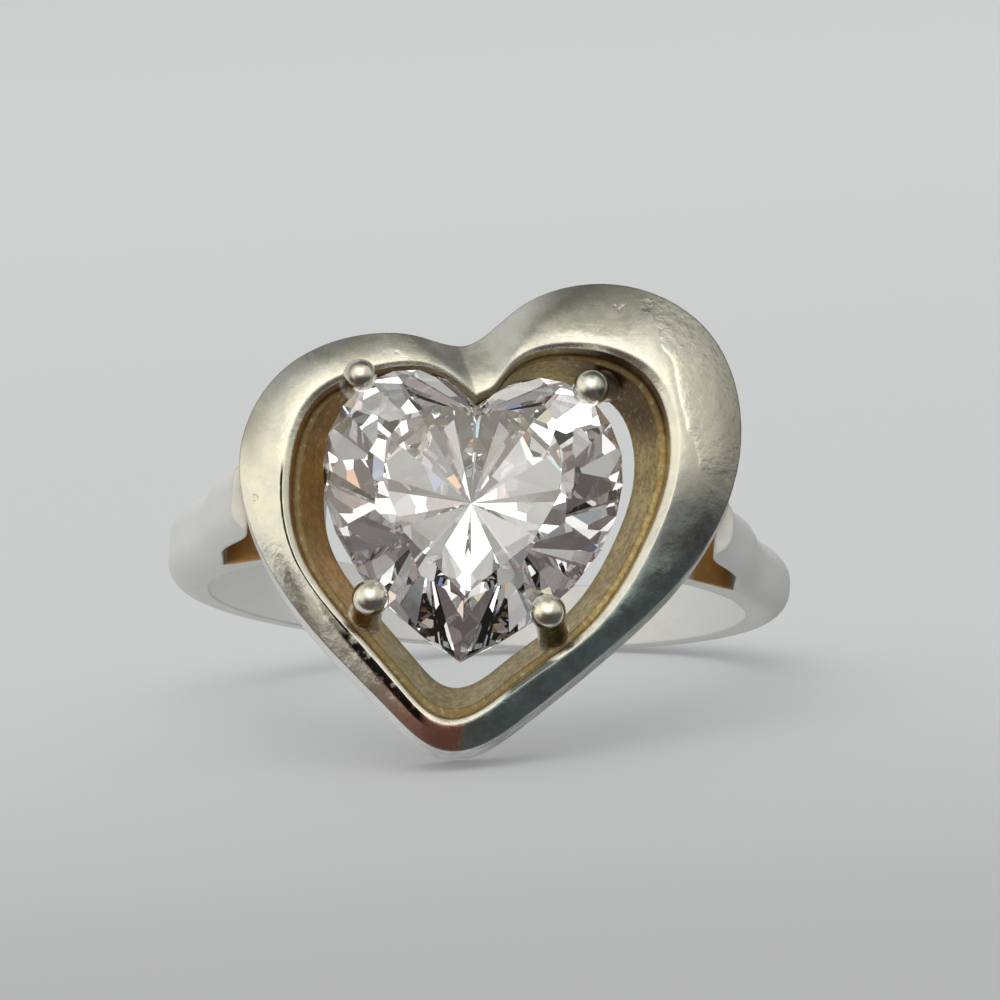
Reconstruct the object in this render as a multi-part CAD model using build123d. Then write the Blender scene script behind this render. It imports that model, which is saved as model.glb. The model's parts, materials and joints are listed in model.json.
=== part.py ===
from build123d import *
import math
import os

# A silver finger ring. A domed heart frame stands round a heart-cut clear stone, which four
# ball-tipped prongs hold. Two thin arms carry the frame on a plain shank, with a window beside each.
# It is drawn face up, with X across the finger, Y along it and Z out through the face, and the
# origin in the middle of the finger hole. At the end it is laid on its side as it rests by itself.
# All sizes are millimetres and degrees.

# Shank
finger_bore = 17.35
shank_thickness = 1.37
shank_width_left = 2.6
shank_width_right = 1.85
shank_rounding = 0.85

# Arms and windows between the shank and the frame
arm_start_angle = 24.0
arm_top_reach = 7.66
arm_mid_reach = 8.42
arm_mid_height = 7.9
arm_thickness = 0.57
rail_thickness = 0.85
window_start_reach = 6.2
window_end_reach = 8.0

# Heart frame
frame_across = -0.3
frame_along = -0.27
heart_width = 15.07
heart_height = 14.69
opening_width = 11.38
opening_height = 11.56
ridge_height = 13.55
dome_drop = 1.1
dome_slope = 28.0
dome_fullness = 1.4
side_wall = 1.4
bevel_width = 0.28
bevel_drop = 0.14
cleft_slope = 0.9

# Inner wall of the opening, which leans in below a narrow ledge
ledge_drop = 0.7
ledge_lean = 0.12
ledge_width = 0.22
wall_lean = 1.0
lean_centre_across = 0.15
lean_centre_along = 1.0

# Stone
stone_width = 9.06
stone_height = 8.9
stone_across = -0.05
stone_along = -0.05
girdle_below_ridge = 0.35
girdle_thickness = 0.16
crown_height = 1.2
pavilion_depth = 3.9
centre_along = 0.3
star_angle = 20.0
star_reach = 0.9
upper_half_steeper = 7.0
lower_half_steeper = 4.5

# Prongs
prong_radius = 0.42
prong_foot_radius = 0.5
ball_above_girdle = 0.62
seat_clearance = 0.03

# How far the ring rolls sideways where it balances on the heart's tip and the palm's edge
rest_roll = 7.66

# Heart outline, clockwise from the cleft to the tip and back. The two left columns place the outer
# edge, as shares of heart_width and heart_height. The next two place the rim of the opening, as
# shares of opening_width and opening_height. All are measured from the frame's middle. The last
# column is how much of bevel_width and bevel_drop the bevel has there.
heart_rows = (
    # place, outer_across, outer_along, rim_across, rim_along, bevel
    ("cleft", -0.050, 0.337, -0.009, 0.278, 0.8),
    ("cleft right side", 0.007, 0.368, 0.022, 0.296, 0.8),
    ("right lobe rise", 0.067, 0.429, 0.068, 0.358, 0.8),
    ("right lobe top", 0.267, 0.491, 0.263, 0.430, 0.8),
    ("right lobe shoulder", 0.451, 0.405, 0.438, 0.369, 0.9),
    ("right side", 0.529, 0.169, 0.513, 0.171, 1.0),
    ("right flank high", 0.467, -0.054, 0.469, -0.049, 1.0),
    ("right flank middle", 0.300, -0.266, 0.320, -0.312, 0.7),
    ("right flank low", 0.134, -0.426, 0.144, -0.466, 0.5),
    ("tip", -0.013, -0.509, -0.026, -0.570, 0.4),
    ("left flank low", -0.134, -0.437, -0.154, -0.488, 0.4),
    ("left flank middle", -0.300, -0.279, -0.307, -0.334, 0.5),
    ("left flank high", -0.427, -0.099, -0.439, -0.172, 0.6),
    ("left side", -0.471, 0.096, -0.487, 0.061, 0.7),
    ("left lobe shoulder", -0.401, 0.256, -0.425, 0.259, 0.7),
    ("left lobe top", -0.234, 0.345, -0.263, 0.341, 0.7),
    ("left lobe fall", -0.134, 0.347, -0.140, 0.352, 0.8),
)
bevel_column = 5
tip_row = 9
dome_shares = (0, 0.2, 0.45, 0.7, 1)

# Corners of the stone's right half, from the cleft to the tip, as shares of stone_width and
# stone_height. The left half mirrors it. The crown angle is that of the facet at the corner.
stone_rows = (
    # place, across, along, crown_angle
    ("cleft", 0.000, 0.335, 80.0),
    ("cleft rise", 0.055, 0.397, 78.0),
    ("lobe rise", 0.120, 0.437, 60.0),
    ("lobe top left", 0.200, 0.456, 44.0),
    ("lobe top right", 0.285, 0.446, 40.0),
    ("lobe shoulder", 0.375, 0.400, 38.0),
    ("lobe high side", 0.445, 0.315, 37.0),
    ("lobe side", 0.488, 0.215, 36.0),
    ("widest", 0.498, 0.110, 36.0),
    ("flank top", 0.484, 0.000, 36.0),
    ("flank high", 0.440, -0.120, 36.0),
    ("flank middle", 0.360, -0.245, 36.0),
    ("flank low", 0.255, -0.360, 36.0),
    ("tip side", 0.125, -0.458, 38.0),
    ("tip", 0.000, -0.533, 40.0),
)

# Prongs, with the ball's place and the foot's place on the inner wall, both from the stone's middle
prong_rows = (
    # place, ball_across, ball_along, ball_radius, foot_across, foot_along
    ("upper left", -3.62, 3.60, 0.50, -4.05, 3.85),
    ("upper right", 3.32, 3.70, 0.56, 3.85, 4.25),
    ("lower left", -2.85, -3.13, 0.56, -3.05, -3.75),
    ("lower right", 2.45, -3.20, 0.55, 2.85, -4.05),
)

# Sizes that follow from those above
bore_radius = finger_bore / 2
shank_radius = bore_radius + shank_thickness
rail_radius = bore_radius + rail_thickness
edge_height = ridge_height - dome_drop
under_height = edge_height - side_wall
rim_height = ridge_height - bevel_drop
ledge_height = rim_height - ledge_drop
girdle_height = ridge_height - girdle_below_ridge
palm_half_width = (shank_width_left + shank_width_right) / 4
half_width_lost = (shank_width_left - shank_width_right) / 4
deep = 2 * shank_width_left
tall = 2 * ridge_height

# How far cutters run past what they cut, and the steepest a crown facet may be ground
past = 1.0
steepest_facet = 88.0


def outer_point(row):
    return Vector(row[1] * heart_width, row[2] * heart_height)


def opening_point(row, inset):
    """A point of the opening's rim, drawn in towards the lobes' middle by an inset at its sides."""
    centre = Vector(lean_centre_across, lean_centre_along)
    rim = Vector(row[3] * opening_width, row[4] * opening_height)
    return centre + (rim - centre) * (1 - 2 * inset / opening_width)


def closed_outline(points, slope):
    """A closed heart through the points: a smooth curve down each side, with a notch of the given slope."""
    across_tip = (-1, 0)
    right = Spline(*points[: tip_row + 1], tangents=((1, slope), across_tip), tangent_scalars=(1, 1))
    left = Spline(*points[tip_row:], points[0], tangents=(across_tip, (1, -slope)), tangent_scalars=(1, 1))
    return Pos(frame_across, frame_along) * Wire([right.edge(), left.edge()])


def dome_outline(share):
    """The heart part way from the outer edge, at 0, up the dome to the ridge, at 1."""
    points = []
    for row in heart_rows:
        outer = outer_point(row)
        across_band = opening_point(row, -bevel_width * row[bevel_column]) - outer
        drop = min(dome_drop, across_band.length * math.tan(math.radians(dome_slope)))
        height = ridge_height - drop * (1 - share) ** dome_fullness
        points.append(outer + across_band * share + Vector(0, 0, height))
    return closed_outline(points, cleft_slope * share)


def rim_outline():
    """The foot of the bevel, round the opening."""
    points = []
    for row in heart_rows:
        height = ridge_height - bevel_drop * row[bevel_column]
        points.append(opening_point(row, 0) + Vector(0, 0, height))
    return closed_outline(points, cleft_slope)


def opening_outline(inset, height):
    points = [opening_point(row, inset) for row in heart_rows]
    return Pos(0, 0, height) * closed_outline(points, cleft_slope)


def skin(sections, ruled=True):
    """The faces that a loft through the sections makes between them."""
    return Shell.make_loft(sections, ruled=ruled).faces()


def heart_frame():
    """The frame as one closed skin, from its underside up the side wall, over the dome and down in."""
    base = Pos(0, 0, under_height) * closed_outline([outer_point(row) for row in heart_rows], 0)
    dome = [dome_outline(share) for share in dome_shares]
    rim = rim_outline()
    ledge_outer = opening_outline(ledge_lean, ledge_height)
    ledge_inner = opening_outline(ledge_lean + ledge_width, ledge_height)
    foot = opening_outline(wall_lean, under_height)
    faces = skin((base, dome[0])) + skin(dome, ruled=False) + skin((rim, dome[-1]))
    faces += skin((ledge_outer, rim)) + [Face(ledge_outer, [ledge_inner])]
    faces += skin((foot, ledge_inner)) + [Face(base, [foot])]
    return Part() + Solid(Shell(faces))


def opening_shaft():
    """The frame's opening carried straight down through the shank under the head."""
    foot = make_face(opening_outline(wall_lean, under_height + past))
    return extrude(foot, under_height + past - bore_radius / 2, dir=(0, 0, -1))


def side_outline(inset):
    """The shank and arms seen from the side, as a face in X and Z, drawn in by the given inset."""
    radius = shank_radius - inset
    start = Vector(math.cos(math.radians(arm_start_angle)), math.sin(math.radians(arm_start_angle)))
    top = under_height
    arm = Spline(
        start * radius,
        (arm_mid_reach - inset, arm_mid_height),
        (arm_top_reach - inset, top),
        tangents=((-start.Y, start.X), (0, 1)),
    )
    low = (0, -radius)
    lid = (0, top)
    half = make_face(
        [arm.edge(), ThreePointArc(start * radius, (radius, 0), low).edge()]
        + [Line(low, lid).edge(), Line(lid, (arm_top_reach - inset, top)).edge()]
    )
    return half + mirror(half, Plane.YZ)


def upright(face, depth):
    """A face drawn in X and Z, made as deep along the finger as given."""
    return extrude(Plane.XZ * face, depth / 2, both=True)


def shank():
    """The round band with both arms, wider on the left, with its outer edges rounded."""
    reach = shank_radius + past
    height = ridge_height + shank_radius + past
    plan = Polygon(
        (-reach, -shank_width_left / 2),
        (reach, -shank_width_right / 2),
        (reach, shank_width_right / 2),
        (-reach, shank_width_left / 2),
        align=None,
    )
    body = upright(side_outline(0), deep) & extrude(plan, height, both=True)
    sides = body.faces().sort_by(Axis.Y)
    outer_edges = (sides[:1] + sides[-1:]).edges().filter_by(GeomType.LINE, reverse=True)
    return fillet(outer_edges, shank_rounding)


def windows():
    """The openings between the shank's rail and each arm, cut right through along the finger."""
    around = side_outline(arm_thickness) - Circle(rail_radius)
    around -= Rectangle(2 * window_start_reach, 2 * tall)
    upper = Rectangle(2 * window_end_reach, tall, align=(Align.CENTER, Align.MIN))
    return upright(around & upper, deep)


def finger_hole():
    return Rot(90, 0, 0) * Cylinder(bore_radius, deep)


def prong(row):
    """A leaning post from its foot on the inner wall up to a ball over the stone's edge."""
    place, ball_across, ball_along, ball_radius, foot_across, foot_along = row
    ball = Vector(frame_across + ball_across, frame_along + ball_along, girdle_height + ball_above_girdle)
    foot = Vector(frame_across + foot_across, frame_along + foot_along, under_height + prong_foot_radius)
    length = (ball - foot).length
    post = Cone(prong_foot_radius, prong_radius, length, align=(Align.CENTER, Align.CENTER, Align.MIN))
    along_post = Plane(origin=foot, z_dir=ball - foot)
    return along_post * post + Pos(foot) * Sphere(prong_foot_radius) + Pos(ball) * Sphere(ball_radius)


def azimuth_vector(azimuth):
    return Vector(math.cos(math.radians(azimuth)), math.sin(math.radians(azimuth)))


def grind(solid, point, azimuth, angle, grow=0.0):
    """Takes off what lies past a plane through a point, facing an azimuth and an angle from level."""
    slope = math.radians(angle)
    normal = azimuth_vector(azimuth) * math.sin(slope) + Vector(0, 0, math.cos(slope))
    return split(solid, bisect_by=Plane(origin=point + normal * grow, z_dir=normal), keep=Keep.BOTTOM)


def crossing(first, first_azimuth, second, second_azimuth):
    """The point where two level lines cross, each through a point and at right angles to an azimuth."""
    a = azimuth_vector(first_azimuth)
    b = azimuth_vector(second_azimuth)
    first_reach = first.dot(a)
    second_reach = second.dot(b)
    spread = a.X * b.Y - a.Y * b.X
    across = first_reach * b.Y - second_reach * a.Y
    along = second_reach * a.X - first_reach * b.X
    return Vector(across / spread, along / spread)


def stone(grow=0.0):
    """The heart-cut stone, with its girdle's middle at height 0 and each facet moved out by grow."""
    corners = [Vector(row[1] * stone_width, row[2] * stone_height) for row in stone_rows]
    edge_azimuths = []
    for first, second in zip(corners, corners[1:]):
        run = second - first
        edge_azimuths.append(math.degrees(math.atan2(run.X, -run.Y)))
    upper = Vector(0, 0, girdle_thickness / 2)
    lower = Vector(0, 0, -girdle_thickness / 2)
    centre = Vector(0, centre_along)

    block = Box(stone_width, 2 * stone_height, 2 * stone_height)
    half = split(block, bisect_by=Plane.YZ, keep=Keep.TOP)
    half = grind(half, upper + Vector(0, 0, crown_height), 0, 0, grow)
    for index, azimuth in enumerate(edge_azimuths):
        corner = corners[index]
        crown_angle = (stone_rows[index][3] + stone_rows[index + 1][3]) / 2 + upper_half_steeper
        run_in = (corner - centre).dot(azimuth_vector(azimuth))
        pavilion_angle = math.degrees(math.atan2(pavilion_depth, run_in)) + lower_half_steeper
        half = grind(half, corner, azimuth, 90, grow)
        half = grind(half, corner + upper, azimuth, min(crown_angle, steepest_facet), grow)
        half = grind(half, corner + lower, azimuth, 180 - pavilion_angle, grow)

    table_lines = []
    for index in range(1, len(corners), 2):
        corner = corners[index]
        azimuth = (edge_azimuths[index - 1] + edge_azimuths[index]) / 2
        crown_angle = stone_rows[index][3]
        run_in = (corner - centre).dot(azimuth_vector(azimuth))
        pavilion_angle = math.degrees(math.atan2(pavilion_depth, run_in))
        half = grind(half, corner + upper, azimuth, crown_angle, grow)
        half = grind(half, corner + lower, azimuth, 180 - pavilion_angle, grow)
        inset = crown_height / math.tan(math.radians(crown_angle))
        table_lines.append((corner - azimuth_vector(azimuth) * inset, azimuth))

    for (first, first_azimuth), (second, second_azimuth) in zip(table_lines, table_lines[1:]):
        table_corner = crossing(first, first_azimuth, second, second_azimuth)
        star = centre + (table_corner - centre) * star_reach + Vector(0, 0, upper.Z + crown_height)
        half = grind(half, star, (first_azimuth + second_azimuth) / 2, star_angle, grow)
    return half + mirror(half, Plane.YZ)


def lean_angle():
    """How far the face tips up when the heart's tip and the palm's rounded edge both touch ground."""
    tip = outer_point(heart_rows[tip_row]) + Vector(frame_across, frame_along, under_height)
    roll = math.radians(rest_roll)
    ring_radius = shank_radius - shank_rounding
    lowest, highest = 0.0, 45.0
    while highest - lowest > 0.001:
        lean = (lowest + highest) / 2
        level = math.cos(roll) * math.cos(math.radians(lean))
        steep = math.cos(roll) * math.sin(math.radians(lean))
        tip_depth = tip.X * math.sin(roll) - tip.Y * level - tip.Z * steep
        slant = math.hypot(math.sin(roll), steep)
        half_width = palm_half_width - half_width_lost * math.sin(roll) / slant
        edge_depth = (half_width - shank_rounding) * level + shank_rounding + ring_radius * slant
        if tip_depth > edge_depth:
            lowest = lean
        else:
            highest = lean
    return lowest


def main():
    os.makedirs("parts", exist_ok=True)
    body = heart_frame() + (shank() - finger_hole() - windows() - opening_shaft())
    for row in prong_rows:
        body += prong(row)
    seat = Pos(frame_across + stone_across, frame_along + stone_along, girdle_height)
    body -= seat * stone(seat_clearance)
    on_side = Rot(0, rest_roll, 0) * Rot(90 - lean_angle(), 0, 0)
    body = on_side * body
    gem = on_side * seat * stone()
    box = body.bounding_box()
    rest = Pos(-box.center().X, -box.center().Y, -box.min.Z)
    for name, piece in (("silver_ring", body), ("heart_stone", gem)):
        export_step(rest * piece, f"parts/{name}.step")
    hole = Plane(rest * on_side * Location((0, 0, 0)))
    print("finger hole centre", hole.origin, "finger hole axis", hole.y_dir, "face axis", hole.z_dir)


main()
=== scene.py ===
import json
import math
from types import SimpleNamespace

import bpy
from mathutils import Matrix, Vector


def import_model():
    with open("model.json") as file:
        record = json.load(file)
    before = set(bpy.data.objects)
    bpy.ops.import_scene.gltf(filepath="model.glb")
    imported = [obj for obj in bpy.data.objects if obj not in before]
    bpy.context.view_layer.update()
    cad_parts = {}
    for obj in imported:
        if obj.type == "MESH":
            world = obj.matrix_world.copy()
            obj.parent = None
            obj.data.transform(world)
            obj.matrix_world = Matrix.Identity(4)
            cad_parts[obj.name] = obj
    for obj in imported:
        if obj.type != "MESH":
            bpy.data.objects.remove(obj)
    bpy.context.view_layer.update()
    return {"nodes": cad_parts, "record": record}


MM = 0.001

# How the photograph was taken, measured from the ring's own axes, in degrees and millimetres
VIEW_BELOW_FACE = 10.3
VIEW_ROLL = 3.8
VIEW_DISTANCE = 170.0
VIEW_WIDTH = 30.03
VIEW_SHIFT_RIGHT = 0.826
VIEW_SHIFT_UP = 0.15
SENSOR = 36.0
NEAREST_SEEN = 0.01
FARTHEST_SEEN = 100.0

# The way the heart faces. The finger hole's place and axis are in the record.
FACE_AXIS = Vector((0.039689, -0.954643, 0.295096))

# The ring's own frame has its origin in the middle of the finger hole. Its three numbers are across
# (x, to the right), along the finger (y, up) and out through the face (z), in millimetres.
STONE_MIDDLE = Vector((-0.3, -0.27, 13.2))
OPENING_MIDDLE = (-0.1, 0.3)
CLEFT_PLACE = -0.6
DARK_CORNER = (4.0, 3.9, 12.6)
DARK_CORNER_REACH = (2.6, 1.2)
LEDGE_HEIGHT = 12.71
BEVEL_HEIGHT = 13.40
RIM_HEIGHT = 13.41
PATCH_HEIGHT = 13.43
LINE_HEIGHT = 13.525
RIDGE_HEIGHT = 13.55
HEAD_BOTTOM = 11.0
POST_BOTTOM = 11.9
SIDE_TOP = 11.5
ARM_TOP = 12.6
ARM_START = 5.5
WINDOW_START = 6.4
WINDOW_BOTTOM = 5.0
RAIL_RADIUS = 9.525

# The prongs' middle lines, across and along, and how far a post's own colour reaches from them
PRONGS = ((-4.05, 3.42), (3.20, 3.60), (-3.22, -3.60), (2.28, -3.75))
POST_REACH = (0.62, 0.52)

# The seam on the right lobe lies where across + slope * along is the place. The line at the tip where the
# painted red-brown reflection meets the painted blue-green one is given in the same way. Both wander
# a little.
SEAM_SLOPE = 0.345
SEAM_PLACE = 6.83
SEAM_WANDER = (-0.2, 0.2)
TIP_SLOPE = -0.25
TIP_PLACE = 1.62
TIP_WANDER = (-0.12, 0.12)

# Dents and pits in the silver
DENTS = (
    # across, along, out, radius
    (-2.94, 4.16, 13.2, 0.20),
    (-2.50, 4.37, 13.1, 0.24),
    (3.75, 6.17, 13.0, 0.16),
    (4.60, 6.34, 12.8, 0.24),
    (6.08, 2.46, 13.2, 0.18),
    (-6.70, 0.41, 13.0, 0.20),
    (-6.74, -0.52, 13.0, 0.14),
    (3.60, -2.90, 13.2, 0.14),
)
DENT_WANDER = (-0.15, 0.15)

# How deep the relief is and how far edges are rounded and hollows reach, in millimetres
WAVE_DEPTH = 0.06
HAMMER_DEPTH = 0.009
SEAM_HAMMER = 5.0
GROOVE_DEPTH = 0.010
DENT_DEPTH = 0.022
SCRATCH_DEPTH = 0.0012
EDGE_ROUNDING = 0.12
HOLLOW_REACH = 1.2

# Random patterns on the silver: scale for each millimetre, detail and roughness
WAVES = (0.6, 2.0, 0.5)
PATCHES = (1.1, 4.0, 0.65)
SMEARS = (2.3, 4.0, 0.65)
GRAINS = (6.0, 4.0, 0.7)
HAMMERED = (3.2, 2.0, 0.6)
DENT_RIMS = (4.0, 2.0, 0.5)
SCRATCH_LENGTH = 0.25
SCRATCHES = (
    # how the strokes are turned, in radians, and how fine they are
    ((0.3, 0.2, 0.5), 16.0),
    ((0.1, -0.3, 1.4), 20.0),
    ((-0.2, 0.4, 2.5), 18.0),
)

# The silver's colours where it is clean, and the painted shade and painted reflections laid on it
SILVER_WARM = (0.93, 0.90, 0.78)
SILVER_COOL = (0.80, 0.80, 0.75)
# Duller silver outside the seam, also used as painted shade towards the outer edge and on steep slopes
SILVER_DULL_AND_SHADE = (0.66, 0.66, 0.61)
# Painted shade on the rounded outer edge and the steepest slopes
SILVER_EDGE_SHADE = (0.30, 0.30, 0.27)
SILVER_BAND = (0.72, 0.72, 0.70)
# Painted reflection of the pale floor on the side wall, and painted shade on its lower right part
SILVER_SIDE_REFLECTION = (0.74, 0.75, 0.74)
SILVER_SHADE = (0.34, 0.35, 0.35)
# Painted reflections of dark blue-green on the lower right flank
SILVER_TEAL_REFLECTION = (0.62, 0.76, 0.76)
SILVER_DUSK_REFLECTION = (0.29, 0.31, 0.31)
# Painted red-brown reflection at the tip
SILVER_RED_REFLECTION = (0.92, 0.56, 0.46)

# Its colours where it is tarnished or dirty
SILVER_POST = (0.80, 0.70, 0.62)
STAIN_LEFT = (0.62, 0.31, 0.055)
STAIN_LOW = (0.46, 0.37, 0.16)
STAIN_RIGHT = (0.58, 0.45, 0.20)
STAIN_DARK = (0.12, 0.085, 0.045)
STAIN_WINDOW = (0.66, 0.40, 0.14)
STAIN_LEDGE = (0.20, 0.15, 0.07)
STAIN_DEEP = (0.22, 0.13, 0.05)
# Dark for a worn patch, and also used for painted shade and a painted dark reflection
GRIME_AND_SHADE = (0.03, 0.025, 0.02)

# Roughness of the polished silver, from its cleanest to its most smeared places, what the upper half,
# the seam, the band, the side and the tarnish add to it, and the prong balls' share of it
POLISH = (0.12, 0.22)
UPPER_SATIN = 0.08
SEAM_SATIN = 0.10
BAND_SATIN = 0.20
SIDE_SATIN = 0.08
TARNISH_SATIN = 0.22
BALL_POLISH = 0.4

# How metallic the pale band is: a worn surface with a dull film
BAND_METAL = 0.45

# The studio as the ring mirrors it. A direction is given by how far it points right, up and towards
# the camera. Each screen fills a window of such directions, between its low and high ends, with soft
# edges of the given width. Later rows cover earlier ones.
SCREENS = (
    # right low and high, up low and high, towards low and high, softness, colour
    (0.30, 1.30, -0.10, 0.80, -0.50, 1.30, 0.20, (0.62, 0.60, 0.52)),
    (0.30, 1.30, -1.30, 0.20, -0.50, 1.30, 0.30, (0.22, 0.22, 0.20)),
    (-0.20, 1.30, -0.20, 1.30, -0.75, 0.00, 0.15, (0.20, 0.20, 0.19)),
    (0.02, 1.30, -1.30, 0.30, -1.30, -0.60, 0.10, (0.20, 0.21, 0.205)),
    (-1.30, 1.30, 0.86, 1.30, -0.20, 1.30, 0.12, (0.30, 0.30, 0.25)),
    (-1.30, -0.45, -0.30, 0.66, -0.30, 1.30, 0.20, (0.98, 0.93, 0.80)),
    (-0.66, 0.60, 0.10, 0.95, 0.05, 1.30, 0.16, (1.05, 1.00, 0.88)),
    (-0.50, 0.46, 0.10, 0.86, 0.05, 1.30, 0.20, (1.60, 1.55, 1.38)),
    (-1.30, -0.40, -0.95, -0.20, 0.00, 1.30, 0.16, (0.17, 0.145, 0.125)),
    (-0.78, 1.30, -1.30, 0.04, -0.10, 1.30, 0.30, (0.095, 0.066, 0.060)),
    (0.20, 1.30, -1.30, 0.00, -0.30, 1.30, 0.20, (0.085, 0.088, 0.085)),
)
ROOM_COLOUR = (0.62, 0.62, 0.60)

# How the screens' edges wander: scale, detail and reach, for both ways together and for each by itself
WANDER_ALL = (3.0, 3.0, 0.20)
WANDER_RIGHT = (5.0, 2.0, 0.90)
WANDER_UP = (7.0, 2.0, 0.90)
WANDER_ROUGHNESS = 0.6

# What lights matt surfaces, and what the camera sees past the floor
SOFT_LIGHT = (0.90, 0.91, 0.92)
BACKDROP_COLOUR = (0.66, 0.67, 0.66)

# The key light, its place to the right of, above and in front of the stone, in metres
KEY_PLACE = (-0.15, 0.55, 0.45)
KEY_SIDE = 0.7
KEY_POWER = 1.8

# The floor's colour, with painted shading that darkens it towards the camera: at its near edge, at the
# ring and far behind it, how far behind the ring these turn into each other in metres, and how much of
# the colour shines by itself and so softens shadows
FLOOR_SIDE = 4.0
FLOOR_NEAR = (0.42, 0.422, 0.42)
FLOOR_MIDDLE = (0.55, 0.56, 0.557)
FLOOR_FAR = (0.62, 0.63, 0.62)
NEAR_TO_MIDDLE = (-0.05, 0.01)
MIDDLE_TO_FAR = (0.0, 0.35)
FLOOR_GLOW = 0.35
FLOOR_ROUGHNESS = 0.9
FLOOR_GLOSS = 0.1

# The stone, and what light bent by it picks up: no deep darks, and a few whites and flashes of colour
STONE_IOR = 2.16
STONE_BOUNCES = 11
STONE_DARKS = (0.130, 0.104, 0.102)
STONE_SATURATION = 0.35
STONE_TONES = (0.22, 1.00)
STONE_WHITE = (1.15, 1.15, 1.12)
STONE_WHITE_FROM = 0.87
STONE_BLUSH = (1.0, 0.84, 0.82)
STONE_BLUSH_FROM = 0.76
FLASH_SCALE = 7.0
FLASH_FROM = 0.94
FLASH_STRENGTH = 0.75
FLASH_COLOURS = ((0.16, 0.24, 0.55), (0.85, 0.40, 0.14), (0.50, 0.85, 0.95), (0.90, 0.88, 0.60))
HARD_STEP = 0.01


def ring_axes(record):
    """The ring's own frame in millimetres (across, along the finger, out through the face) as a matrix."""
    mount = record["mounts"][0]
    along = Vector(mount["axis"]).normalized()
    face = (FACE_AXIS - along * FACE_AXIS.dot(along)).normalized()
    across = along.cross(face)
    place = Matrix((across, along, face)).transposed().to_4x4()
    place = place @ Matrix.Scale(MM, 4)
    place.translation = Vector(mount["pos_m"])
    return place


def ring_directions(ring):
    return [ring.col[index].xyz.normalized() for index in range(3)]


def make_camera(ring):
    """The camera at the photograph's angle. Returns its right, up and back towards itself."""
    across, along, face = ring_directions(ring)
    tilt = math.radians(VIEW_BELOW_FACE)
    toward = face * math.cos(tilt) - along * math.sin(tilt)
    upward = along * math.cos(tilt) + face * math.sin(tilt)
    roll = math.radians(VIEW_ROLL)
    right = across * math.cos(roll) + upward * math.sin(roll)
    up = upward * math.cos(roll) - across * math.sin(roll)
    target = ring @ STONE_MIDDLE + (right * VIEW_SHIFT_RIGHT + up * VIEW_SHIFT_UP) * MM
    data = bpy.data.cameras.new("photo_camera")
    data.sensor_width = SENSOR
    data.lens = SENSOR * VIEW_DISTANCE / VIEW_WIDTH
    data.clip_start = NEAREST_SEEN
    data.clip_end = FARTHEST_SEEN
    camera = bpy.data.objects.new("photo_camera", data)
    bpy.context.scene.collection.objects.link(camera)
    place = Matrix((right, up, toward)).transposed().to_4x4()
    place.translation = target + toward * VIEW_DISTANCE * MM
    camera.matrix_world = place
    bpy.context.scene.camera = camera
    return right, up, toward


class Graph:
    """Adds shader nodes to a tree. Inputs are numbers, tuples or other nodes' outputs."""

    def __init__(self, tree):
        self.tree = tree

    def plug(self, socket, value):
        if isinstance(value, bpy.types.NodeSocket):
            self.tree.links.new(value, socket)
        else:
            socket.default_value = value

    def add(self, kind, settings=(), **values):
        node = self.tree.nodes.new(kind)
        for name, value in dict(settings).items():
            setattr(node, name, value)
        for name, value in values.items():
            self.plug(node.inputs[name], value)
        return node

    def math(self, operation, *values):
        node = self.add("ShaderNodeMath", {"operation": operation})
        for socket, value in zip(node.inputs, values):
            self.plug(socket, value)
        return node.outputs[0]

    def chain(self, operation, first, *others):
        for value in others:
            first = self.math(operation, first, value)
        return first

    def both(self, *masks):
        """1 where all masks are 1."""
        return self.chain("MULTIPLY", *masks)

    def either(self, *masks):
        """1 where any mask is 1."""
        return self.chain("MAXIMUM", *masks)

    def off(self, value, middle=0.0):
        """How far a value is from the middle, either way."""
        return self.math("ABSOLUTE", self.math("SUBTRACT", value, middle))

    def vector(self, operation, first, second):
        node = self.add("ShaderNodeVectorMath", {"operation": operation})
        self.plug(node.inputs[0], first)
        self.plug(node.inputs["Scale"] if operation == "SCALE" else node.inputs[1], second)
        return node.outputs["Value"] if operation in ("DOT_PRODUCT", "DISTANCE") else node.outputs["Vector"]

    def dot(self, vector, constant):
        return self.vector("DOT_PRODUCT", vector, tuple(constant))

    def distance(self, vector, constant):
        return self.vector("DISTANCE", vector, tuple(constant))

    def ramp(self, value, low, high, to_low=0.0, to_high=1.0, smooth=True):
        """A value turned from low..high into to_low..to_high, held at its ends."""
        node = self.tree.nodes.new("ShaderNodeMapRange")
        node.interpolation_type = "SMOOTHSTEP" if smooth else "LINEAR"
        for name, number in (("From Min", low), ("From Max", high), ("To Min", to_low), ("To Max", to_high)):
            node.inputs[name].default_value = number
        self.plug(node.inputs["Value"], value)
        return node.outputs["Result"]

    def mix(self, factor, first, second):
        node = self.add("ShaderNodeMix", {"data_type": "RGBA"})
        self.plug(node.inputs[0], factor)
        for socket, value in ((node.inputs[6], first), (node.inputs[7], second)):
            self.plug(socket, value if isinstance(value, bpy.types.NodeSocket) else (*value, 1.0))
        return node.outputs[2]

    def noise(self, vector, scale, detail, roughness):
        node = self.add("ShaderNodeTexNoise", Vector=vector, Scale=scale, Detail=detail, Roughness=roughness)
        return node.outputs[0]

    def mapped(self, vector, move, turn, scale):
        node = self.add("ShaderNodeMapping", Vector=vector, Location=move, Rotation=turn, Scale=scale)
        return node.outputs[0]

    def bump(self, height, depth, under):
        """Depth is how far a height of 1 stands out, in millimetres. Under is what it stands on."""
        node = self.add("ShaderNodeBump", Height=height, Normal=under, Strength=1.0, Distance=depth * MM)
        return node.outputs[0]

    def dip(self, mask, depth, under):
        """A bump that goes in by the depth where the mask is 1."""
        return self.bump(self.math("MULTIPLY", mask, -1.0), depth, under)


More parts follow.
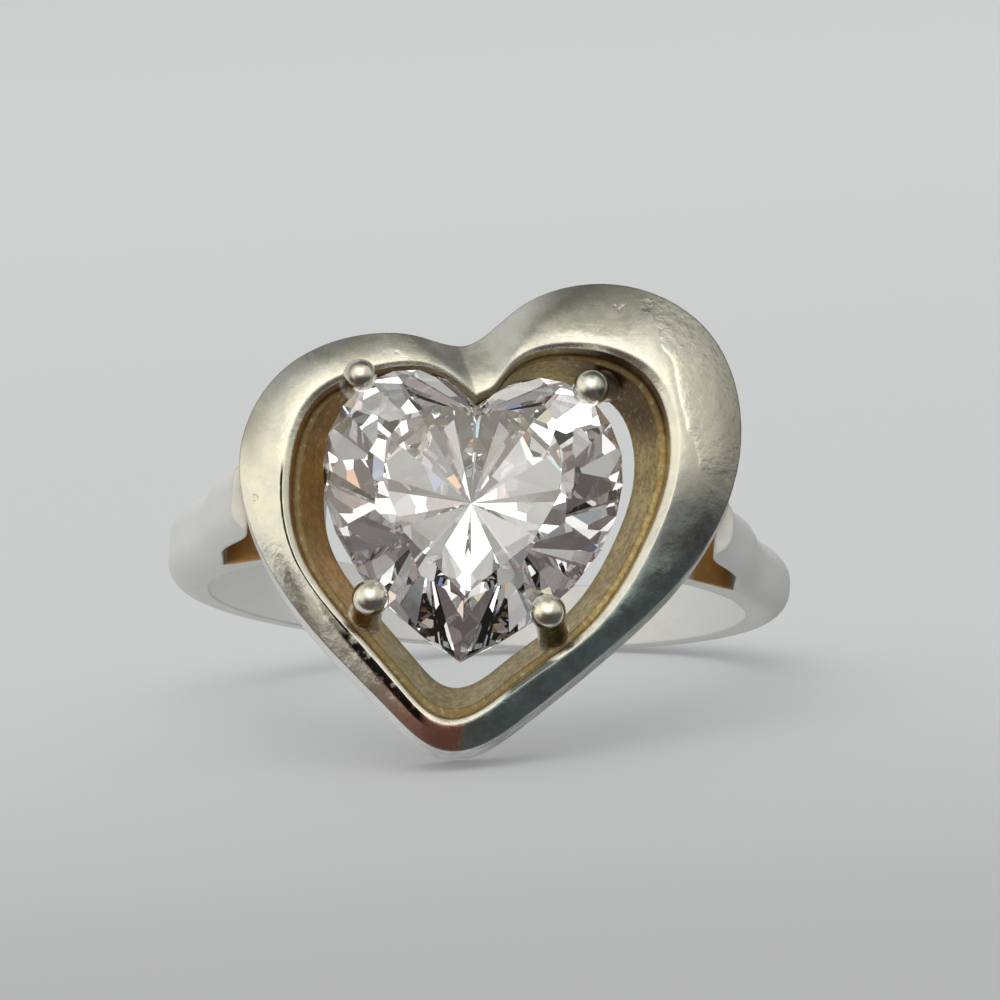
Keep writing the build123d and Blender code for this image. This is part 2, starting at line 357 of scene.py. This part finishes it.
def new_material(name):
    material = bpy.data.materials.new(name)
    material.use_nodes = True
    return material, Graph(material.node_tree), material.node_tree.nodes["Principled BSDF"]


def ring_coordinates(graph, ring):
    """The place on the object in the ring's own millimetres, whichever piece it is on."""
    turn = ring.to_3x3().normalized().transposed()
    move = -(turn @ ring.translation) / MM
    place = graph.add("ShaderNodeTexCoord").outputs["Object"]
    return graph.mapped(place, move, turn.to_euler(), (1 / MM, 1 / MM, 1 / MM))


def off_line(graph, spot, slope, place, wander):
    """How far right of a slanted line a point is, in millimetres."""
    across = graph.math("MULTIPLY_ADD", spot.y, slope, spot.x)
    return graph.math("SUBTRACT", graph.math("ADD", across, wander), place)


def silver_spot(graph, ring):
    """Where a point of the silver is, how it faces, its random patterns, and masks of the ring's forms."""
    spot = SimpleNamespace()
    across, along, face = ring_directions(ring)
    spot.place = ring_coordinates(graph, ring)
    spot.x, spot.y, spot.z = [graph.dot(spot.place, axis) for axis in ((1, 0, 0), (0, 1, 0), (0, 0, 1))]
    normal = graph.add("ShaderNodeNewGeometry").outputs["Normal"]
    facing_x, facing_y, spot.facing = [graph.dot(normal, axis) for axis in (across, along, face)]
    spot.soft_edges = graph.add("ShaderNodeBevel", {"samples": 3}, Radius=EDGE_ROUNDING * MM).outputs[0]
    spot.turned = graph.math("SUBTRACT", spot.facing, graph.dot(spot.soft_edges, face))
    spot.waves = graph.noise(spot.place, *WAVES)
    spot.patches = graph.noise(spot.place, *PATCHES)
    spot.smears = graph.noise(spot.place, *SMEARS)
    spot.grains = graph.noise(spot.place, *GRAINS)

    # Away is below 0 where a surface faces the opening's middle, as its inner wall does
    from_x = graph.math("SUBTRACT", spot.x, OPENING_MIDDLE[0])
    from_y = graph.math("SUBTRACT", spot.y, OPENING_MIDDLE[1])
    spot.away = graph.math("MULTIPLY_ADD", facing_y, from_y, graph.math("MULTIPLY", facing_x, from_x))
    spot.outward = graph.ramp(spot.away, 0.05, 0.3)
    spot.sideways = graph.both(spot.outward, graph.ramp(spot.facing, 0.55, 0.4))

    # The inner wall with its level ledge, the prongs' balls, and the band with its arms
    head = graph.ramp(spot.z, HEAD_BOTTOM - 0.2, HEAD_BOTTOM)
    under_rim = graph.ramp(spot.z, RIM_HEIGHT + 0.01, RIM_HEIGHT - 0.02)
    wall = graph.both(graph.ramp(spot.away, -0.3, -0.9), graph.ramp(spot.facing, 0.75, 0.6))
    wall = graph.both(wall, head, under_rim)
    level = graph.ramp(spot.facing, 0.95, 0.99)
    spot.ledge = graph.both(graph.ramp(graph.off(spot.z, LEDGE_HEIGHT), 0.04, 0.02), level)
    spot.wall = graph.either(wall, spot.ledge)
    spot.ball = graph.ramp(spot.z, RIDGE_HEIGHT, RIDGE_HEIGHT + 0.08)
    spot.under_ball = graph.ramp(spot.z, RIDGE_HEIGHT + 0.02, RIDGE_HEIGHT + 0.005)
    past_arm_start = graph.ramp(graph.off(spot.x), ARM_START, ARM_START + 0.9)
    arm = graph.both(graph.ramp(spot.z, ARM_TOP, ARM_TOP - 0.8), past_arm_start)
    spot.band = graph.either(arm, graph.ramp(spot.z, SIDE_TOP, SIDE_TOP - 0.6))

    # The seam on the right lobe, and all that lies outside it
    wander = graph.ramp(spot.waves, 0.3, 0.7, *SEAM_WANDER)
    spot.off_seam = off_line(graph, spot, SEAM_SLOPE, SEAM_PLACE, wander)
    spot.seam = graph.both(graph.ramp(spot.off_seam, -0.08, 0.16), graph.ramp(spot.y, 0.8, 1.8))
    return spot


def window_mask(graph, spot):
    """The rail's outer face, which shows through the small window on each side."""
    from_hole = graph.math("MULTIPLY_ADD", spot.x, spot.x, graph.math("MULTIPLY", spot.z, spot.z))
    off_rail = graph.off(graph.math("SQRT", from_hole), RAIL_RADIUS)
    on_rail = graph.ramp(off_rail, 0.2, 0.1)
    past_bottom = graph.ramp(spot.z, WINDOW_BOTTOM, WINDOW_BOTTOM + 0.6)
    past_start = graph.ramp(graph.off(spot.x), WINDOW_START, WINDOW_START + 0.4)
    return graph.both(on_rail, past_bottom, past_start)


def hollow_mask(graph, spot):
    """Corners and crevices, most of all in the head, where tarnish collects."""
    around = graph.add("ShaderNodeAmbientOcclusion", {"samples": 2}, Distance=HOLLOW_REACH * MM)
    closed_in = graph.ramp(around.outputs["AO"], 0.6, 0.2)
    hollow = graph.both(closed_in, graph.math("SUBTRACT", 1.0, spot.ball))
    hollow = graph.both(hollow, graph.ramp(spot.z, HEAD_BOTTOM - 0.3, HEAD_BOTTOM, 0.15, 0.8))
    return graph.both(hollow, graph.math("SUBTRACT", 1.0, spot.sideways))


def post_mask(graph, spot):
    """The prongs' posts, which stand out of the inner wall."""
    flat = graph.vector("MULTIPLY", spot.place, (1, 1, 0))
    from_post = graph.chain("MINIMUM", *[graph.distance(flat, (*middle, 0.0)) for middle in PRONGS])
    return graph.both(graph.ramp(from_post, *POST_REACH), graph.ramp(spot.z, POST_BOTTOM, POST_BOTTOM + 0.3))


def silver_tarnish(graph, spot):
    """How tarnished a point is, and its stain: amber on the left wall, olive at the bottom and on the
    right, and dark brown at the upper right and in patches."""
    stain = graph.mix(graph.ramp(spot.x, -4.2, -2.0), STAIN_LEFT, STAIN_LOW)
    stain = graph.mix(graph.ramp(spot.x, 1.5, 4.0), stain, STAIN_RIGHT)
    corner = graph.ramp(graph.distance(spot.place, DARK_CORNER), *DARK_CORNER_REACH)
    stain = graph.mix(corner, stain, STAIN_DARK)
    stain = graph.mix(graph.ramp(spot.patches, 0.35, 0.7, 0.0, 0.45), stain, STAIN_DEEP)
    speckle = graph.ramp(spot.grains, 0.45, 0.65, 0.0, 0.6)
    speckle = graph.both(speckle, graph.ramp(spot.x, -3.5, -1.5, 0.4, 1.0))
    stain = graph.mix(speckle, stain, STAIN_DEEP)
    upper_left = graph.both(graph.ramp(spot.y, 0.8, 2.6, 0.0, 0.75), graph.ramp(spot.x, -1.0, -2.5))
    stain = graph.mix(upper_left, stain, STAIN_DEEP)
    window = window_mask(graph, spot)
    stain = graph.mix(window, stain, STAIN_WINDOW)
    dim_ledge = graph.either(graph.ramp(spot.x, 4.0, -1.5, 0.45, 1.0), graph.ramp(spot.y, -2.0, -4.5))
    stain = graph.mix(graph.both(spot.ledge, dim_ledge), stain, STAIN_LEDGE)
    stain = graph.mix(post_mask(graph, spot), stain, SILVER_POST)
    tarnish = graph.either(spot.wall, window, hollow_mask(graph, spot))
    return graph.both(tarnish, graph.ramp(spot.grains, 0.25, 0.5, 0.75, 1.0)), stain


def clean_silver(graph, spot):
    """The clean silver's colour: warm and cool in patches, duller outside the seam, with painted shade
    towards the outer edge, on steep slopes and along the rounded edge, painted reflections of
    blue-green on the right flank, of red-brown at the tip and of the pale floor on the side, painted
    shade on the side's lower right, and a paler band."""
    colour = graph.mix(graph.ramp(spot.patches, 0.35, 0.65), SILVER_WARM, SILVER_COOL)
    # Outside the seam the silver is duller, and painted shade darkens it more towards the outer edge and on
    # steep outward slopes of the upper lobes
    dull_and_shade = graph.both(graph.ramp(spot.off_seam, 0.1, 1.5, 0.35, 1.0), spot.seam)
    steep_shade = graph.both(graph.ramp(spot.facing, 0.95, 0.84), spot.outward, graph.ramp(spot.y, 1.0, 3.0))
    dull_and_shade = graph.both(graph.either(dull_and_shade, steep_shade), graph.ramp(spot.smears, 0.25, 0.7, 1.0, 0.5))
    colour = graph.mix(dull_and_shade, colour, SILVER_DULL_AND_SHADE)

    # Painted reflection: a dark blue-green mirrored on the lower right flank, darkest near its top and in
    # patches
    wander = graph.ramp(spot.smears, 0.3, 0.7, *TIP_WANDER)
    off_tip = off_line(graph, spot, TIP_SLOPE, TIP_PLACE, wander)
    low_right_reflection = graph.both(graph.ramp(off_tip, -0.1, 0.16), graph.ramp(spot.y, 2.4, -0.2))
    low_right_reflection = graph.both(low_right_reflection, spot.outward, spot.under_ball)
    teal_reflection = graph.mix(graph.ramp(spot.y, -0.8, -2.8), SILVER_DUSK_REFLECTION, SILVER_TEAL_REFLECTION)
    teal_reflection = graph.mix(graph.ramp(spot.patches, 0.35, 0.65, 0.0, 0.5), teal_reflection, SILVER_DUSK_REFLECTION)
    colour = graph.mix(low_right_reflection, colour, teal_reflection)
    # Painted reflection: a red-brown one at the tip, left of the blue-green one
    low_left = graph.both(graph.ramp(spot.x, -3.4, -1.6), graph.ramp(off_tip, 0.06, -0.08))
    tip_reflection = graph.both(low_left, graph.ramp(spot.y, -4.0, -5.8), spot.outward)
    tip_reflection = graph.both(tip_reflection, graph.ramp(spot.smears, 0.3, 0.5, 0.6, 1.0))
    colour = graph.mix(tip_reflection, colour, SILVER_RED_REFLECTION)

    # Painted shade: dark where the softened edge turns away from the face, and on the steep outer slopes
    # away from the cleft
    edge_shade = graph.both(graph.ramp(spot.turned, 0.01, 0.12), graph.ramp(spot.facing, 0.55, 0.65))
    slope = graph.both(graph.ramp(spot.facing, 0.88, 0.79, 0.0, 0.85), graph.ramp(spot.facing, 0.6, 0.7))
    off_cleft = graph.ramp(graph.off(spot.x, CLEFT_PLACE), 1.0, 2.8)
    slope = graph.both(slope, off_cleft, graph.ramp(spot.y, 0.0, 2.0))
    colour = graph.mix(graph.both(graph.either(edge_shade, slope), spot.outward), colour, SILVER_EDGE_SHADE)

    # Painted reflection of the pale floor on the side wall, with painted shade on its lower right part
    shaded = graph.both(graph.ramp(spot.x, -2.4, -0.8), graph.ramp(spot.y, 2.0, 0.0))
    colour = graph.mix(spot.sideways, colour, graph.mix(shaded, SILVER_SIDE_REFLECTION, SILVER_SHADE))
    return graph.mix(spot.band, colour, SILVER_BAND)


def silver_dirt_and_shade(graph, spot):
    """A thin dark line of painted shade beside the bevel on the left, a worn patch below it, and a
    painted dark reflection on the bevel at the lower right."""
    # Painted shade: a thin dark line beside the bevel on the left
    line = graph.both(graph.ramp(spot.z, LINE_HEIGHT, LINE_HEIGHT + 0.01), graph.ramp(spot.y, 0.8, 0.2))
    line = graph.both(line, graph.ramp(spot.y, -4.6, -4.4))
    patch = graph.both(graph.ramp(spot.y, -4.25, -4.55), graph.ramp(spot.smears, 0.30, 0.46))
    patch = graph.both(patch, graph.ramp(spot.z, PATCH_HEIGHT, PATCH_HEIGHT + 0.04))
    on_left = graph.both(graph.either(line, patch), spot.outward, graph.ramp(spot.x, -1.1, -1.5))
    # Painted dark reflection on the bevel at the lower right
    bevel = graph.ramp(spot.z, BEVEL_HEIGHT, BEVEL_HEIGHT + 0.02)
    bevel = graph.both(bevel, graph.ramp(spot.away, -0.1, -0.4))
    low_right_reflection = graph.both(graph.ramp(spot.x, 0.9, 1.3), graph.ramp(spot.y, -4.75, -4.95, 0.0, 0.85))
    return graph.both(graph.either(on_left, graph.both(bevel, low_right_reflection)), spot.under_ball)


def silver_roughness(graph, spot, tarnish):
    rough = graph.ramp(spot.smears, 0.3, 0.7, *POLISH)
    rough = graph.math("ADD", rough, graph.ramp(spot.y, -2.5, 2.0, 0.0, UPPER_SATIN))
    masks = (spot.seam, spot.band, spot.sideways, tarnish)
    for mask, satin in zip(masks, (SEAM_SATIN, BAND_SATIN, SIDE_SATIN, TARNISH_SATIN)):
        rough = graph.math("MULTIPLY_ADD", mask, satin, rough)
    return graph.both(rough, graph.ramp(spot.ball, 0.0, 1.0, 1.0, BALL_POLISH))


def silver_relief(graph, spot):
    """Waves, hammered unevenness, the seam's groove, dents and fine scratches, on softened edges."""
    relief = graph.bump(spot.waves, WAVE_DEPTH, spot.soft_edges)
    coarse = graph.either(spot.seam, graph.ramp(spot.x, -4.6, -5.6, 0.0, 0.3))
    hammered = graph.noise(spot.place, *HAMMERED)
    hammered = graph.math("MULTIPLY", hammered, graph.ramp(coarse, 0.0, 1.0, 1.0, SEAM_HAMMER))
    relief = graph.bump(hammered, HAMMER_DEPTH, relief)
    groove = graph.both(graph.ramp(graph.off(spot.off_seam), 0.30, 0.0), graph.ramp(spot.y, 1.2, 2.0))
    relief = graph.dip(groove, GROOVE_DEPTH, relief)
    uneven = graph.ramp(graph.noise(spot.place, *DENT_RIMS), 0.3, 0.7, *DENT_WANDER)
    bowls = []
    for *middle, radius in DENTS:
        away = graph.math("ADD", graph.distance(spot.place, middle), uneven)
        bowls.append(graph.ramp(away, radius, -0.2 * radius))
    relief = graph.dip(graph.either(*bowls), DENT_DEPTH, relief)
    strokes = []
    for turn, fine in SCRATCHES:
        stretched = graph.mapped(spot.place, (0, 0, 0), turn, (SCRATCH_LENGTH, fine, fine))
        strokes.append(graph.ramp(graph.noise(stretched, 1.0, 0.0, 0.5), 0.74, 0.84))
    return graph.dip(graph.either(*strokes), SCRATCH_DEPTH, relief)


def silver_material(ring):
    """Worn silver, tarnished inside the heart, with a pale dull band, and painted shade and painted
    reflections in its colour.
    """
    material, graph, shader = new_material("worn_silver")
    spot = silver_spot(graph, ring)
    tarnish, stain = silver_tarnish(graph, spot)
    colour = graph.mix(tarnish, clean_silver(graph, spot), stain)
    graph.plug(shader.inputs["Base Color"], graph.mix(silver_dirt_and_shade(graph, spot), colour, GRIME_AND_SHADE))
    graph.plug(shader.inputs["Roughness"], silver_roughness(graph, spot, tarnish))
    clean_band = graph.both(spot.band, graph.math("SUBTRACT", 1.0, tarnish))
    graph.plug(shader.inputs["Metallic"], graph.ramp(clean_band, 0.0, 1.0, 1.0, BAND_METAL))
    graph.plug(shader.inputs["Normal"], silver_relief(graph, spot))
    return material


def stone_material():
    material, graph, shader = new_material("clear_stone")
    shader.inputs["Base Color"].default_value = (1, 1, 1, 1)
    shader.inputs["Roughness"].default_value = 0.0
    shader.inputs["IOR"].default_value = STONE_IOR
    shader.inputs["Transmission Weight"].default_value = 1.0
    return material


def floor_material():
    """A plain pale floor with painted shading: a little lighter with its distance behind the ring."""
    material, graph, shader = new_material("pale_floor")
    behind = graph.dot(graph.add("ShaderNodeTexCoord").outputs["Object"], (0, 1, 0))
    # Painted shading: darker near the camera, lighter far behind the ring
    colour = graph.mix(graph.ramp(behind, *NEAR_TO_MIDDLE), FLOOR_NEAR, FLOOR_MIDDLE)
    colour = graph.mix(graph.ramp(behind, *MIDDLE_TO_FAR), colour, FLOOR_FAR)
    graph.plug(shader.inputs["Base Color"], graph.mix(FLOOR_GLOW, colour, (0, 0, 0)))
    graph.plug(shader.inputs["Emission Color"], colour)
    shader.inputs["Emission Strength"].default_value = FLOOR_GLOW
    shader.inputs["Roughness"].default_value = FLOOR_ROUGHNESS
    shader.inputs["Specular IOR Level"].default_value = FLOOR_GLOSS
    return material


def add_floor():
    half = FLOOR_SIDE / 2
    corners = [(-half, -half, 0), (half, -half, 0), (half, half, 0), (-half, half, 0)]
    mesh = bpy.data.meshes.new("floor")
    mesh.from_pydata(corners, [], [(0, 1, 2, 3)])
    mesh.materials.append(floor_material())
    floor = bpy.data.objects.new("floor", mesh)
    bpy.context.scene.collection.objects.link(floor)
    floor.visible_glossy = False
    floor.visible_transmission = False
    return floor


def dress(node, material):
    node.data.materials.clear()
    node.data.materials.append(material)


def screen_colours(graph, direction, right, up, toward):
    """The studio's colour in a direction: a pale room with soft, ragged screens."""
    wanders = []
    for scale, detail, reach in (WANDER_ALL, WANDER_RIGHT, WANDER_UP):
        shift = graph.math("SUBTRACT", graph.noise(direction, scale, detail, WANDER_ROUGHNESS), 0.5)
        wanders.append(graph.math("MULTIPLY", shift, reach))
    to_right, to_up, to_camera = [graph.dot(direction, axis) for axis in (right, up, toward)]
    to_right = graph.chain("ADD", to_right, wanders[0], wanders[1])
    to_up = graph.chain("ADD", to_up, wanders[0], wanders[2])
    colour = ROOM_COLOUR
    for *ends, soft, tint in SCREENS:
        sides = []
        for way, low, high in zip((to_right, to_up, to_camera), ends[::2], ends[1::2]):
            sides += [graph.ramp(way, low, low + soft), graph.ramp(way, high, high - soft)]
        colour = graph.mix(graph.both(*sides), colour, tint)
    return colour


def colours_in_stone(graph, direction, colour):
    """The studio as light bent by the stone picks it up: broken into cells, each with three random
    numbers that choose its tone, its tint, and whether it flashes."""
    cells = graph.add("ShaderNodeTexVoronoi", Vector=direction, Scale=FLASH_SCALE)
    numbers = graph.add("ShaderNodeSeparateColor", Color=cells.outputs["Color"])
    flashes, tints, tones = numbers.outputs
    pale = graph.add("ShaderNodeHueSaturation", Saturation=STONE_SATURATION, Color=colour).outputs[0]
    toned = graph.vector("SCALE", pale, graph.ramp(tones, 0.0, 1.0, *STONE_TONES, smooth=False))
    blush = graph.ramp(tints, STONE_BLUSH_FROM, STONE_BLUSH_FROM + 2 * HARD_STEP)
    toned = graph.vector("MULTIPLY", toned, graph.mix(blush, (1, 1, 1), STONE_BLUSH))
    toned = graph.vector("MAXIMUM", toned, STONE_DARKS)
    white = graph.ramp(tones, STONE_WHITE_FROM, STONE_WHITE_FROM + HARD_STEP)
    toned = graph.mix(white, toned, STONE_WHITE)
    flash = FLASH_COLOURS[0]
    for index, tint in enumerate(FLASH_COLOURS[1:], 1):
        step = index / len(FLASH_COLOURS)
        flash = graph.mix(graph.ramp(tints, step, step + HARD_STEP), flash, tint)
    share = graph.ramp(flashes, FLASH_FROM, FLASH_FROM + HARD_STEP, 0.0, FLASH_STRENGTH)
    return graph.mix(share, toned, flash)


def add_world(right, up, toward):
    """Soft studio light: a pale room with softboxes and dark screens that only the object mirrors."""
    world = bpy.data.worlds.new("studio")
    bpy.context.scene.world = world
    world.use_nodes = True
    world.cycles.sampling_method = "NONE"
    graph = Graph(world.node_tree)
    direction = graph.add("ShaderNodeTexCoord").outputs["Generated"]
    rays = graph.add("ShaderNodeLightPath").outputs
    colour = screen_colours(graph, direction, right, up, toward)
    bent = colours_in_stone(graph, direction, colour)
    colour = graph.mix(graph.ramp(rays["Transmission Depth"], 0.0, 1.0), colour, bent)
    colour = graph.mix(rays["Is Diffuse Ray"], colour, SOFT_LIGHT)
    colour = graph.mix(rays["Is Camera Ray"], colour, BACKDROP_COLOUR)
    background = world.node_tree.nodes["Background"]
    graph.plug(background.inputs["Color"], colour)
    background.inputs["Strength"].default_value = 1.0


def add_key_light(middle, right, up, toward):
    data = bpy.data.lights.new("key", "AREA")
    data.shape = "RECTANGLE"
    data.size = KEY_SIDE
    data.size_y = KEY_SIDE
    data.energy = KEY_POWER
    light = bpy.data.objects.new("key", data)
    bpy.context.scene.collection.objects.link(light)
    to_right, to_up, to_camera = KEY_PLACE
    aim = right * to_right + up * to_up + toward * to_camera
    light.location = middle + aim
    light.rotation_euler = aim.to_track_quat("Z", "Y").to_euler()
    light.visible_glossy = False


def dress_ring():
    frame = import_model()
    ring = ring_axes(frame["record"])
    right, up, toward = make_camera(ring)
    dress(frame["nodes"]["silver_ring"], silver_material(ring))
    dress(frame["nodes"]["heart_stone"], stone_material())
    floor = add_floor()
    add_world(right, up, toward)
    add_key_light(ring @ STONE_MIDDLE, right, up, toward)
    scene = bpy.context.scene
    scene.view_settings.view_transform = "Standard"
    scene.cycles.max_bounces = STONE_BOUNCES
    scene.cycles.glossy_bounces = STONE_BOUNCES
    scene.cycles.transmission_bounces = STONE_BOUNCES


dress_ring()
